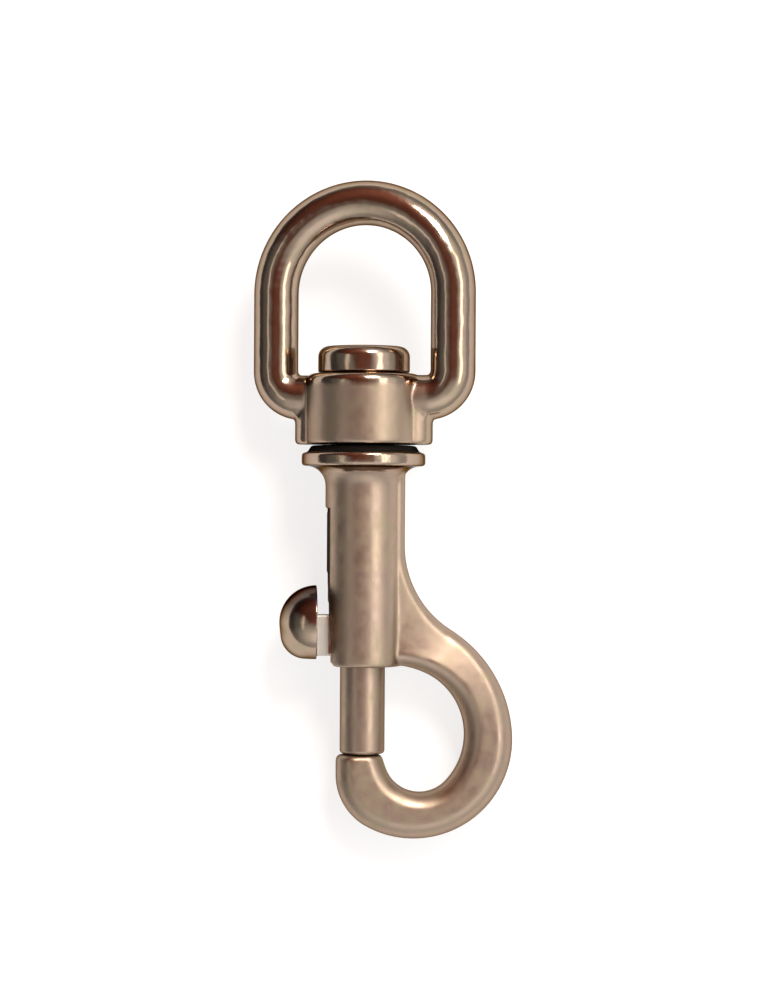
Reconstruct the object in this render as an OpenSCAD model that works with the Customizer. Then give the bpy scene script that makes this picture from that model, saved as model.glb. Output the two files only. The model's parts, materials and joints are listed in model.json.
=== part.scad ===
// Swivel snap hook: a cast hook whose tubular shank holds a sprung bolt that closes its
// mouth, and a cast eye that turns on a headed rivet in the shank's upper end.
// Every piece is drawn upright about the barrel's axis, which is Z, with the barrel's
// flange at height zero, the eye above, the hook bending out towards +X and its front
// facing -Y. The whole is then laid on its back, as it comes to rest on a table.

/* [Eye] */
// Diameter of the round bar that forms the eye
eye_bar_d = 6.0; // [5:0.1:7]
// Clear width inside the eye
eye_w = 18.2; // [16:0.05:24]
// Clear height inside the eye, from the collar up to the crown
eye_h = 19.8; // [17:0.05:28]
// Inside radius of the eye's two lower corners
eye_corner_r = 0.45; // [0.3:0.05:2]
// Depth of the bar's foot below the collar's top face
foot_drop = 0.2; // [0:0.05:1]

/* [Collar of the eye] */
// Diameter of the round collar that turns on the rivet
collar_d = 15.4; // [13.6:0.1:17]
// Height of the collar
collar_h = 9.5; // [8:0.1:13]
// Rounding of the collar's upper edge
collar_top_round = 1.1; // [0.4:0.1:1.4]
// Rounding of the collar's lower edge
collar_low_round = 0.5; // [0.2:0.1:1]
// Width over the two ears beside the collar
ear_span = 18.7; // [17:0.1:20]
// Thickness of the ears, front to back
ear_t = 5.8; // [4.6:0.1:5.8]
// Radius of the hollow between each ear and the bar above it
ear_fillet = 1.9; // [0.8:0.1:2.2]

/* [Swivel rivet] */
// Diameter of the rivet's head
head_d = 12.26; // [10:0.02:14]
// Height of the rivet's head
head_h = 3.5; // [2:0.1:5]
// Rounding of the head's upper edge
head_round = 1.4; // [0.4:0.1:1.8]
// Diameter of the shank that the eye turns on
shank_d = 7.5; // [6.8:0.1:8.4]
// Length of the spigot pressed into the barrel
spigot_l = 3; // [2:0.1:4]

/* [Barrel] */
// Diameter of the barrel
barrel_d = 10.14; // [9.2:0.02:11.4]
// Length of the barrel, from the flange's top face to its lower end
barrel_l = 28.5; // [26:0.1:36]
// Diameter of the flange under the eye
flange_d = 16.54; // [14.8:0.02:19]
// Thickness of the flange at its rim
flange_t = 1.8; // [1.2:0.1:2.4]
// Rounding of the rim's lower edge
rim_low_round = 0.3; // [0.2:0.1:1]
// Rounding of the rim's upper edge
rim_top_round = 0.35; // [0.1:0.05:0.5]
// Radius of the hollow sweep from the flange into the barrel
flare_r = 2.6; // [1:0.1:3.4]
// Height of the raised ring that the eye's collar bears on
boss_h = 0.93; // [0.4:0.01:1.6]
// Diameter of that ring at its top
boss_top_d = 14; // [11:0.1:14.8]
// Diameter of that ring where it meets the flange
boss_foot_d = 15; // [13:0.1:15.4]
// Chamfer round the barrel's lower end
barrel_chamfer = 0.35; // [0.1:0.05:0.6]
// Diameter of the bore that the bolt slides in
bore_d = 6.2; // [5.6:0.02:7]
// Distance of the rib's edge from the barrel's axis
rib_reach = 5.5; // [5.3:0.05:7]
// Thickness of the rib
rib_t = 5.4; // [4:0.1:6]
// Rounding of the rib's corners
rib_round = 1.2; // [0.3:0.1:1.8]

/* [Slot in the barrel] */
// Width of the slot along most of its length
slot_w = 3.1; // [2.8:0.1:4]
// Width of the slot at its open lower end
slot_mouth_w = 5.6; // [4.2:0.1:6]
// Length of the part that widens towards the lower end
slot_mouth_l = 13; // [5:0.5:16]
// Room left above the stud's neck when the bolt is drawn right back
slot_spare = 2.2; // [0.5:0.1:3]

/* [Hook] */
// Distance of the bow's centre from the barrel's axis
bow_x = 6.9; // [6.6:0.1:8]
// Depth of the bow's centre below the barrel's lower end
bow_drop = 9.8; // [9.4:0.1:12]
// Radius of the hook's outer edge round the bow
bow_out_r = 13.2; // [12.6:0.1:14]
// Radius of the outer edge over the shoulder, above the bow
shoulder_r = 17.7; // [17:0.1:20]
// Angle above level at which the shoulder starts
shoulder_from = 4; // [0:1:12]
// Radius of the hollow between the barrel and the shoulder
neck_r = 13.4; // [11:0.1:16]
// Radius of the outer edge below the tip
toe_r = 7.8; // [7:0.1:9]
// Angle below level at which the toe starts
toe_from = 119; // [112:1:126]
// Radius of the inside of the bow
mouth_r = 9.05; // [8.5:0.05:9.5]
// Sideways place of the inside curve's centre, from the outer one's
mouth_dx = -2.3; // [-2.6:0.05:-1.9]
// Height of the inside curve's centre above the outer one's
mouth_dz = 0.7; // [0.2:0.05:1.2]
// Radius of the inside of the bow below the tip
throat_r = 4.8; // [4.3:0.1:5.3]
// Angle below level at which the throat curve starts
throat_from = 43; // [38:1:50]
// Radius of the underside of the arm, where it leaves the barrel
arm_under_r = 12.2; // [11:0.1:16]
// Angle above level at which the arm's underside starts
arm_under_from = 65; // [60:1:72]
// Thickness of the hook, front to back
hook_t = 5.8; // [5:0.1:6.2]
// Rounding of the corners of the hook's section
hook_round = 2.3; // [1.2:0.1:2.4]
// Height of the mouth between the barrel's end and the tip
mouth_h = 11.75; // [10.6:0.05:13]
// Lean of the tip's inner side, from upright
tip_lean = 20; // [10:1:28]
// Rounding round the tip's end face
tip_round = 0.8; // [0.3:0.1:1.2]

/* [Bolt] */
// Chamfer round both ends of the bolt
bolt_chamfer = 0.5; // [0.2:0.05:0.9]
// Height of the bolt above the stud's neck
bolt_above = 1; // [0.6:0.1:3]
// How far the bolt can be drawn back
bolt_travel = 12; // [10:0.1:12.4]

/* [Thumb stud] */
// Radius of the stud's round upper part
stud_r = 4.95; // [4:0.05:5.4]
// Distance of the stud's flat side from the barrel's axis
stud_x = 6.2; // [5.9:0.05:7]
// Height of the stud's middle above the barrel's lower end
stud_up = 5.85; // [5.6:0.05:8]
// Radius of the fuller lower part
stud_low_r = 3.4; // [2.8:0.05:3.8]
// How far the fuller part's centre stands out from the flat side
stud_low_out = 1.4; // [1:0.05:1.5]
// How far the fuller part's centre lies below the stud's middle
stud_low_drop = 1.5; // [1:0.05:1.8]
// Height of the stud's flat neck
neck_h = 5.45; // [4.6:0.05:6]
// Height of the neck's lower edge above the barrel's lower end
neck_up = 1.43; // [1:0.01:2.4]
// Diameter of the pin that fixes the stud in the bolt
stud_pin_d = 2.6; // [2:0.1:2.9]
// Depth of that pin in the bolt
stud_pin_l = 4.6; // [3.4:0.1:5.4]

/* [Spring] */
// Diameter of the spring's wire
spring_wire_d = 0.6; // [0.4:0.05:0.64]
// Number of turns
spring_turns = 8; // [5:1:8]

/* [Fits] */
// Running clearance between bolt and bore, on the radius
bolt_clear = 0.1; // [0.05:0.01:0.1]
// Running clearance between the rivet's shank and the eye, on the radius
swivel_clear = 0.1; // [0.05:0.01:0.1]
// Clearance at each end of the eye's collar
end_clear = 0.12; // [0.08:0.01:0.3]
// Clearance on each side of the stud's neck in the slot
neck_clear = 0.15; // [0.1:0.05:0.3]
// Clearance between the stretched bolt and the hook's tip
nose_clear = 0.1; // [0.05:0.05:0.3]
// Clearance between the spring and the bore, on the radius
spring_clear = 0.35; // [0.2:0.05:0.5]

/* [Resting pose] */
// Turn of the hook about the barrel's axis at which it balances, hook side down
lie_roll = 6; // [3:0.5:9]
// Turn of the eye about the same axis, right side up where negative
eye_roll = -9.5; // [-20:0.5:20]

/* [Hidden] */
$fn = 72;
overrun = 1;
cast_metal = "#9d9186";
turned_metal = "#a79c92";
spring_metal = "#b0b2b4";

// Heights along the barrel's axis
collar_z = boss_h + end_clear;
collar_top_z = collar_z + collar_h;
head_z = collar_top_z + end_clear;
tip_z = -barrel_l - mouth_h;
bolt_z = tip_z + nose_clear;
neck_z = neck_up - barrel_l;
bolt_top_z = neck_z + neck_h + bolt_above;
slot_top_z = neck_z + neck_h + bolt_travel + slot_spare;
stud_z = stud_up - barrel_l;

// Eye: a half-round crown on straight legs, with a tight bend into the foot on each side
bar_r = eye_bar_d / 2;
leg_x = eye_w / 2 + bar_r;
crown_z = collar_top_z + eye_h + bar_r - leg_x;
corner_mid_r = bar_r + eye_corner_r;
corner_x = leg_x - corner_mid_r;
foot_z = collar_top_z - foot_drop - bar_r;
corner_z = foot_z + corner_mid_r;
ear_x = (ear_span - ear_t) / 2;
ear_low = collar_low_round;
fillet_t = 0.75 * ear_t;
fillet_z = foot_z - bar_r / 2;

// Fits
bolt_r = bore_d / 2 - bolt_clear;
swivel_bore_r = shank_d / 2 + swivel_clear;
neck_t = slot_w - 2 * neck_clear;
spring_r = bore_d / 2 - spring_clear - spring_wire_d / 2;
spring_z = bolt_top_z + spring_wire_d / 2;
spring_top_z = -spigot_l - spring_wire_d / 2;
end_pitch = 1.1;

// Hook: the centres of the arcs that bound it, each running tangent into the next
bow = [bow_x, -barrel_l - bow_drop];
mouth = bow + [mouth_dx, mouth_dz];
shoulder = bow - (shoulder_r - bow_out_r) * ray(shoulder_from);
toe = bow + (bow_out_r - toe_r) * ray(-toe_from);
throat = mouth + (mouth_r - throat_r) * ray(-throat_from);
arm_under = mouth - (arm_under_r - mouth_r) * ray(arm_under_from);
hollow_x = rib_reach + neck_r;
hollow = [hollow_x, shoulder.y + sqrt((shoulder_r + neck_r) ^ 2 - (hollow_x - shoulder.x) ^ 2)];
hollow_angle = atan2(hollow.y - shoulder.y, hollow.x - shoulder.x);
arm_start = acos((bolt_r - arm_under.x) / arm_under_r);
throat_end = throat + throat_r * ray(tip_lean - 180);
rounded_tip_z = tip_z - tip_round;
tip_inner_x = throat_end.x - (rounded_tip_z - throat_end.y) * tan(tip_lean);
tip_outer_x = toe.x - toe_r;

// Resting pose: flange and hook both touch the table
bow_edge_r = bow_out_r - hook_round;
bow_edge_y = hook_t / 2 - hook_round;
rim_edge_r = flange_d / 2 - rim_low_round;
rim_edge_z = flange_t - rim_low_round;
lie_tilt = closer_tilt(closer_tilt(closer_tilt(lie_roll)));
table_z = rim_drop(lie_tilt);
left_x = -leg_x * cos(eye_roll) - bar_r;
right_x = (bow.x + bow_out_r) * cos(lie_roll);
upper_y = (crown_z + leg_x) * cos(lie_tilt) + bar_r;
lower_y = (bow.y - bow_out_r) * cos(lie_tilt);

function ray(angle) = [cos(angle), sin(angle)];
function on_arc(centre, r, angle) = centre + r * ray(angle);
function blend(from, to, share) = from + (to - from) * share;

// How far the flange's rim reaches below the origin when the barrel is laid down
function rim_drop(tilt) = rim_edge_r * cos(tilt) + rim_edge_z * sin(tilt) + rim_low_round;

// Tilt at which the hook's bow touches the table beside the flange, from a first guess
function closer_tilt(tilt) =
    let (
        bow_drop_across = (bow.x * sin(lie_roll) + bow_edge_y * cos(lie_roll)) * cos(tilt),
        bow_drop_edge = bow_edge_r * norm([sin(lie_roll) * cos(tilt), sin(tilt)]) + hook_round
    )
    asin((rim_drop(tilt) - bow_drop_across - bow_drop_edge) / -bow.y);

// One closed ring of the hook's section: a rectangle with round corners between a point
// of the outer edge and one of the inner edge, both [x, z]
function section(outer, inner, half_t, round) =
    let (
        half_w = norm(outer - inner) / 2,
        along = (outer - inner) / (2 * half_w),
        corner_r = min(round, most_round * half_w, most_round * half_t)
    )
    [
        for (quarter = [0 : 3], step = [0 : corner_steps])
            let (
                angle = 90 * (quarter + step / corner_steps),
                side = quarter == 0 || quarter == 3 ? 1 : -1,
                face = quarter < 2 ? 1 : -1,
                across = side * (half_w - corner_r) + corner_r * cos(angle),
                point = (outer + inner) / 2 + across * along
            )
            [point.x, -face * (half_t - corner_r) - corner_r * sin(angle), point.y]
    ];

// Faces of a bar through equal rings, closed at both ends
function bar_faces(rings, sides) = concat(
    [[for (i = [0 : sides - 1]) i]],
    [
        for (r = [0 : rings - 2], i = [0 : sides - 1], half = [0, 1])
            let (a = r * sides + i, b = r * sides + (i + 1) % sides)
            half == 0 ? [a, a + sides, b] : [b, a + sides, b + sides]
    ],
    [[for (i = [sides - 1 : -1 : 0]) (rings - 1) * sides + i]]
);

// Points on an arc or a line, without its last one, which starts the next stretch
function arc_points(steps, centre, r, from, to) = [
    for (i = [0 : steps - 1]) on_arc(centre, r, blend(from, to, i / steps))
];
function line_points(steps, from, to) = [for (i = [0 : steps - 1]) blend(from, to, i / steps)];

// Steps of the sweep, and the largest share of a half side that a corner takes
corner_steps = 5;
most_round = 0.96;
arc_step = 7;
tip_steps = 4;
root_steps = 6;
arm_steps = 5;
shoulder_steps = ceil((hollow_angle - shoulder_from) / arc_step);
bow_steps = ceil(throat_from / arc_step);
throat_steps = ceil((toe_from - throat_from) / arc_step);
toe_steps = ceil((180 - toe_from) / arc_step);
// The arm's root starts just under the rib's skin, and meets it at this angle
root_sink = 0.05;
root_angle = 216;

// Outer edge from the rib round the shoulder, bow and toe up to the tip
outer_edge = concat(
    arc_points(root_steps, hollow, neck_r + root_sink, 180, root_angle),
    arc_points(arm_steps, hollow, neck_r, root_angle, 180 + hollow_angle),
    arc_points(shoulder_steps, shoulder, shoulder_r, hollow_angle, shoulder_from),
    arc_points(bow_steps, bow, bow_out_r, shoulder_from, -throat_from),
    arc_points(throat_steps, bow, bow_out_r, -throat_from, -toe_from),
    arc_points(toe_steps, toe, toe_r, -toe_from, -180),
    line_points(2, [tip_outer_x, toe.y], [tip_outer_x, rounded_tip_z])
);
// Inner edge, which runs down inside the barrel before it leaves it under the arm
inner_edge = concat(
    line_points(root_steps, [bolt_r / 3, hollow.y], on_arc(arm_under, arm_under_r, arm_start)),
    arc_points(arm_steps, arm_under, arm_under_r, arm_start, arm_under_from),
    arc_points(shoulder_steps, mouth, mouth_r, arm_under_from, 0),
    arc_points(bow_steps, mouth, mouth_r, 0, -throat_from),
    arc_points(throat_steps, throat, throat_r, -throat_from, -toe_from),
    arc_points(toe_steps, throat, throat_r, -toe_from, tip_lean - 180),
    line_points(2, throat_end, [tip_inner_x, rounded_tip_z])
);

// Arm, shoulder, bow and toe, growing from the rib's section into the hook's own
function hook_rings() = [
    for (i = [0 : len(outer_edge) - 1])
        let (share = min(1, i / (root_steps + arm_steps + shoulder_steps / 2)))
        section(
            outer_edge[i], inner_edge[i],
            blend(rib_t / 2 - root_sink, hook_t / 2, share), blend(rib_round, hook_round, share)
        )
];

// Rings of the tip, which close in by a quarter circle round its end face
function tip_rings() = [
    for (i = [0 : tip_steps])
        let (
            angle = 90 * i / tip_steps,
            inset = tip_round * (1 - cos(angle)),
            z = rounded_tip_z + tip_round * sin(angle)
        )
        section(
            [tip_outer_x + inset, z], [tip_inner_x - inset, z],
            hook_t / 2 - inset, hook_round - inset
        )
];

// Points along a helix whose first and last turn lie nearly closed
function spring_height(share) =
    let (closed = end_pitch * spring_wire_d, free = spring_top_z - spring_z - 2 * closed)
    let (turn = share * spring_turns)
    spring_z + (
        turn < 1 ? closed * turn
        : turn > spring_turns - 1 ? closed + free + closed * (turn - spring_turns + 1)
        : closed + free * (turn - 1) / (spring_turns - 2)
    );
function spring_ring(share, sides) = [
    for (i = [0 : sides - 1])
        let (
            turn = 360 * spring_turns * share,
            around = -360 * i / sides,
            r = spring_r + spring_wire_d / 2 * cos(around)
        )
        [r * cos(turn), r * sin(turn), spring_height(share) + spring_wire_d / 2 * sin(around)]
];

// Lays what is drawn upright on its back, centred over the origin on the table
module laid() {
    translate([-(left_x + right_x) / 2, -(upper_y + lower_y) / 2, table_z])
        rotate([lie_tilt - 90, 0, 0])
            rotate([0, 0, lie_roll])
                children();
}

// Part of a round bar bent about the origin in the upright plane
module bent_bar(mid_r, from, to, d) {
    rotate([90, 0, 0])
        rotate([0, 0, from])
            rotate_extrude(angle = to - from)
                translate([mid_r, 0])
                    circle(d = d);
}

module eye_side() {
    translate([leg_x, 0, corner_z])
        cylinder(d = eye_bar_d, h = crown_z - corner_z);
    translate([corner_x, 0, corner_z])
        bent_bar(corner_mid_r, -90, 0, eye_bar_d);
    translate([0, 0, foot_z])
        rotate([0, 90, 0])
            cylinder(d = eye_bar_d, h = corner_x);
    // Hollow fillet from the ear out to the bar above it
    translate([ear_x, 0, fillet_z])
        intersection() {
            rotate_extrude()
                translate([0, -ear_fillet])
                    difference() {
                        square([ear_t / 2 + ear_fillet, ear_fillet]);
                        translate([ear_t / 2 + ear_fillet, 0])
                            circle(r = ear_fillet);
                    }
            translate([0, -fillet_t / 2, -ear_fillet])
                cube([ear_t, fillet_t, ear_fillet]);
        }
}

// Round collar, its edges rounded, drawn as half a section
module collar_section() {
    r = collar_d / 2;
    translate([0, collar_low_round])
        square([r, collar_h - collar_low_round - collar_top_round]);
    square([r - collar_low_round, collar_low_round]);
    translate([r - collar_low_round, collar_low_round])
        circle(r = collar_low_round);
    translate([0, collar_h - collar_top_round])
        square([r - collar_top_round, collar_top_round]);
    translate([r - collar_top_round, collar_h - collar_top_round])
        circle(r = collar_top_round);
}

module ears() {
    hull() {
        for (side = [-1, 1]) translate([side * ear_x, 0, collar_z]) {
            cylinder(r1 = ear_t / 2 - ear_low, r2 = ear_t / 2, h = ear_low, $fn = 32);
            cylinder(r = ear_t / 2 - ear_low, h = ear_low, $fn = 32);
            translate([0, 0, ear_low])
                cylinder(r = ear_t / 2, h = foot_z - collar_z - ear_low, $fn = 32);
        }
    }
}

module eye() {
    color(cast_metal) laid() rotate([0, 0, eye_roll - lie_roll]) difference() {
        union() {
            translate([0, 0, crown_z])
                bent_bar(leg_x, 0, 180, eye_bar_d);
            for (side = [0, 1]) mirror([side, 0, 0])
                eye_side();
            ears();
            translate([0, 0, collar_z])
                rotate_extrude()
                    collar_section();
        }
        translate([0, 0, collar_z - overrun])
            cylinder(r = swivel_bore_r, h = collar_h + 2 * overrun);
    }
}

module swivel_rivet() {
    color(turned_metal) laid() rotate_extrude() {
        translate([0, head_z]) {
            square([head_d / 2, head_h - head_round]);
            square([head_d / 2 - head_round, head_h]);
            translate([head_d / 2 - head_round, head_h - head_round])
                circle(r = head_round);
        }
        translate([0, boss_h])
            square([shank_d / 2, head_z - boss_h]);
        translate([0, -spigot_l])
            square([bore_d / 2, spigot_l + boss_h]);
    }
}

module barrel_section() {
    r = barrel_d / 2;
    flange_r = flange_d / 2;
    // Bearing ring
    polygon([[0, 0], [boss_foot_d / 2, 0], [boss_top_d / 2, boss_h], [0, boss_h]]);
    // Flange with its rounded rim
    translate([0, -flange_t]) {
        square([flange_r - rim_low_round, flange_t]);
        translate([0, rim_low_round])
            square([flange_r, flange_t - rim_low_round - rim_top_round]);
        translate([flange_r - rim_low_round, rim_low_round])
            circle(r = rim_low_round);
        translate([0, flange_t - rim_top_round])
            square([flange_r - rim_top_round, rim_top_round]);
        translate([flange_r - rim_top_round, flange_t - rim_top_round])
            circle(r = rim_top_round);
        // Hollow sweep into the barrel
        difference() {
            translate([0, -flare_r])
                square([min(r + flare_r, flange_r - rim_low_round), flare_r]);
            translate([r + flare_r, -flare_r])
                circle(r = flare_r);
        }
    }
    // Barrel wall with its chamfered lower end
    polygon([
        [0, -barrel_l], [r - barrel_chamfer, -barrel_l], [r, barrel_chamfer - barrel_l],
        [r, -flange_t], [0, -flange_t]
    ]);
}

module rib() {
    straight = rib_t / 2 - rib_round;
    low_z = hollow.y - rib_round;
    translate([0, 0, low_z])
        linear_extrude(-flange_t / 2 - low_z) {
            translate([0, -straight])
                square([rib_reach, 2 * straight]);
            translate([0, -rib_t / 2])
                square([rib_reach - rib_round, rib_t]);
            for (side = [-1, 1]) translate([rib_reach - rib_round, side * straight])
                circle(r = rib_round);
        }
}

module slot() {
    rotate([90, 0, -90])
        linear_extrude(barrel_d)
            polygon([
                [-slot_w / 2, slot_top_z], [slot_w / 2, slot_top_z],
                [slot_w / 2, slot_mouth_l - barrel_l], [slot_mouth_w / 2, -barrel_l],
                [slot_mouth_w / 2, -barrel_l - overrun], [-slot_mouth_w / 2, -barrel_l - overrun],
                [-slot_mouth_w / 2, -barrel_l], [-slot_w / 2, slot_mouth_l - barrel_l]
            ]);
}

module barrel_hook() {
    rings = concat(hook_rings(), tip_rings());
    color(cast_metal) laid() difference() {
        union() {
            rotate_extrude()
                barrel_section();
            rib();
            polyhedron(
                points = [for (ring = rings) each ring],
                faces = bar_faces(len(rings), len(rings[0])),
                convexity = 4
            );
        }
        translate([0, 0, -barrel_l - overrun])
            cylinder(d = bore_d, h = barrel_l + boss_h + 2 * overrun);
        slot();
    }
}

module bolt() {
    length = bolt_top_z - bolt_z;
    color(turned_metal) laid() difference() {
        translate([0, 0, bolt_z])
            rotate_extrude()
                polygon([
                    [0, 0], [bolt_r - bolt_chamfer, 0], [bolt_r, bolt_chamfer],
                    [bolt_r, length - bolt_chamfer], [bolt_r - bolt_chamfer, length], [0, length]
                ]);
        // Blind hole for the stud's pin
        translate([stud_pin_l - bolt_r, 0, neck_z + neck_h / 2])
            rotate([0, -90, 0])
                cylinder(d = stud_pin_d, h = stud_pin_l + overrun);
    }
}

module thumb_stud() {
    root_l = stud_r / 2;
    room = 2 * stud_r;
    color(turned_metal) laid() {
        difference() {
            union() {
                intersection() {
                    hull() {
                        translate([-stud_x, 0, stud_z])
                            sphere(r = stud_r, $fn = 32);
                        translate([-stud_x - stud_low_out, 0, stud_z - stud_low_drop])
                            sphere(r = stud_low_r, $fn = 32);
                    }
                    translate([-stud_x - room, -room, stud_z - room])
                        cube([room, 2 * room, 2 * room]);
                }
                translate([-stud_x - root_l, -neck_t / 2, neck_z])
                    cube([stud_x + root_l - bolt_r / 2, neck_t, neck_h]);
            }
            translate([0, 0, bolt_z])
                cylinder(r = bolt_r, h = bolt_top_z - bolt_z);
        }
        translate([stud_pin_l - bolt_r, 0, neck_z + neck_h / 2])
            rotate([0, -90, 0])
                cylinder(d = stud_pin_d, h = stud_pin_l + overrun);
    }
}

module spring() {
    per_turn = 18;
    sides = 8;
    rings = per_turn * spring_turns + 1;
    color(spring_metal) laid() polyhedron(
        points = [for (i = [0 : rings - 1]) each spring_ring(i / (rings - 1), sides)],
        faces = bar_faces(rings, sides),
        convexity = 12
    );
}

eye();
swivel_rivet();
barrel_hook();
bolt();
thumb_stud();
spring();
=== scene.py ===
# Dresses the swivel snap hook: smooth plated castings and turned parts over its fixed
# frame, with the table, the lamps and the camera. Sizes are properties that a user can
# change in the sidebar. Shapes are drawn upright in millimetres about the barrel's axis,
# as the real parts are, and laid down on the table by one matrix at the end.
import json
import math
from types import SimpleNamespace

import bmesh
import bpy
from bpy.props import FloatProperty, FloatVectorProperty, IntProperty, PointerProperty
from mathutils import Matrix, Vector


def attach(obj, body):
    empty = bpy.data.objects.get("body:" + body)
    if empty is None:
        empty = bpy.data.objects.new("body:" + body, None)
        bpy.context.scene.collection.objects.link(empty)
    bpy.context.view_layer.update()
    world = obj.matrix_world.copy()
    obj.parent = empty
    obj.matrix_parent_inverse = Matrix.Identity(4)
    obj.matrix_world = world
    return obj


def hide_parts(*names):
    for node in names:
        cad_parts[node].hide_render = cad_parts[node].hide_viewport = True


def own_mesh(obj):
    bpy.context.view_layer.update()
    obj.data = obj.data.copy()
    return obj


bl_info = {
    "name": "Swivel snap hook",
    "version": (1, 0, 0),
    "blender": (4, 5, 0),
    "location": "View3D > Sidebar > Snap hook",
    "description": "Builds a plated swivel snap hook with its sprung bolt",
    "category": "Add Mesh",
}

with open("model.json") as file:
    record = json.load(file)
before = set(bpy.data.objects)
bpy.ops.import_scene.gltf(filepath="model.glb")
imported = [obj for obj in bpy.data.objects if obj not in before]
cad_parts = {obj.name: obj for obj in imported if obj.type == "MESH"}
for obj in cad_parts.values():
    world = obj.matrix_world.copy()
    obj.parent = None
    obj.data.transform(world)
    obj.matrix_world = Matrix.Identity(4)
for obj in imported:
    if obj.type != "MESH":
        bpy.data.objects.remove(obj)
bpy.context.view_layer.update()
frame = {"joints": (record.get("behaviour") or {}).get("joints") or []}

MM = 1000.0
# Gap between the eye's collar and the ring that it turns on, in millimetres
END_CLEAR = 0.12
# Sides of a full turn about the barrel's axis
ROUND = 144
swivel = next(j for j in frame["joints"] if j["name"] == "eye_swivel")
barrel_axis = Vector(swivel["axis"]).normalized()


def length(label, text, millimetres):
    return FloatProperty(
        name=label, description=text, default=millimetres / MM, unit="LENGTH", precision=5
    )


def turn(label, text, degrees):
    return FloatProperty(
        name=label, description=text, default=math.radians(degrees), subtype="ANGLE"
    )


def share(label, text, value):
    return FloatProperty(
        name=label, description=text, default=value, min=0.0, max=1.0, subtype="FACTOR"
    )


def colour(label, text, value):
    return FloatVectorProperty(
        name=label, description=text, default=value, size=3, min=0.0, max=1.0, subtype="COLOR"
    )


def number(label, text, value):
    return FloatProperty(name=label, description=text, default=value)


def count(label, text, value):
    return IntProperty(name=label, description=text, default=value, min=1)


class SnapEyeSizes(bpy.types.PropertyGroup):
    """Sizes of the eye and its collar"""

    bar_d: length("Bar", "Diameter of the round bar", 6.0)
    clear_w: length("Clear width", "Width inside the eye", 18.2)
    clear_h: length("Clear height", "Height inside the eye, from the collar up", 19.8)
    corner_r: length("Corner", "Inside radius of the two lower corners", 0.45)
    foot_drop: length("Foot", "Depth of the bar's foot below the collar's top", 0.2)
    collar_d: length("Collar", "Diameter of the collar", 15.4)
    collar_h: length("Collar height", "Height of the collar", 9.5)
    top_round: length("Top edge", "Rounding of the collar's upper edge", 1.1)
    low_round: length("Lower edge", "Rounding of the collar's lower edge", 0.5)
    bore_d: length("Bore", "Diameter of the hole that the rivet passes through", 7.7)
    ear_span: length("Ears", "Width over both ears beside the collar", 18.7)
    ear_t: length("Ear thickness", "Thickness of the ears, front to back", 5.8)
    ear_fillet: length("Ear hollow", "Radius of the hollow between ear and bar", 1.9)
    roll: turn("Roll", "Turn of the eye about the barrel's axis", -9.5)


class SnapBarrelSizes(bpy.types.PropertyGroup):
    """Sizes of the barrel and its flange"""

    barrel_d: length("Barrel", "Diameter of the barrel", 10.14)
    barrel_l: length("Barrel length", "From the flange's top to the lower end", 28.5)
    flange_d: length("Flange", "Diameter of the flange", 16.54)
    flange_t: length("Flange thickness", "Thickness of the flange's rim", 1.8)
    rim_low: length("Rim, lower", "Rounding of the rim's lower edge", 0.3)
    rim_top: length("Rim, upper", "Rounding of the rim's upper edge", 0.35)
    flare_r: length("Flare", "Radius of the hollow under the flange", 2.6)
    boss_h: length("Ring height", "Height of the ring that the collar bears on", 0.93)
    boss_top_d: length("Ring top", "Diameter of that ring at its top", 14.0)
    boss_foot_d: length("Ring foot", "Diameter of that ring at its foot", 15.0)
    chamfer: length("Chamfer", "Chamfer round the barrel's lower end", 0.35)
    bore_d: length("Bore", "Diameter of the bore that the bolt slides in", 6.2)
    rib_reach: length("Rib", "Distance of the rib's edge from the axis", 5.5)
    rib_t: length("Rib thickness", "Thickness of the rib", 5.4)
    rib_round: length("Rib rounding", "Rounding of the rib's corners", 1.2)
    slot_w: length("Slot", "Width of the slot", 3.1)
    slot_mouth_w: length("Slot mouth", "Width of the slot at its lower end", 5.6)
    slot_mouth_l: length("Slot mouth length", "Length of the widening part", 13.0)
    slot_top: length("Slot top", "Depth of the slot's upper end below the flange", 7.42)
    roll: turn("Roll", "Turn of the hook about the barrel's axis", 6)


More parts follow.
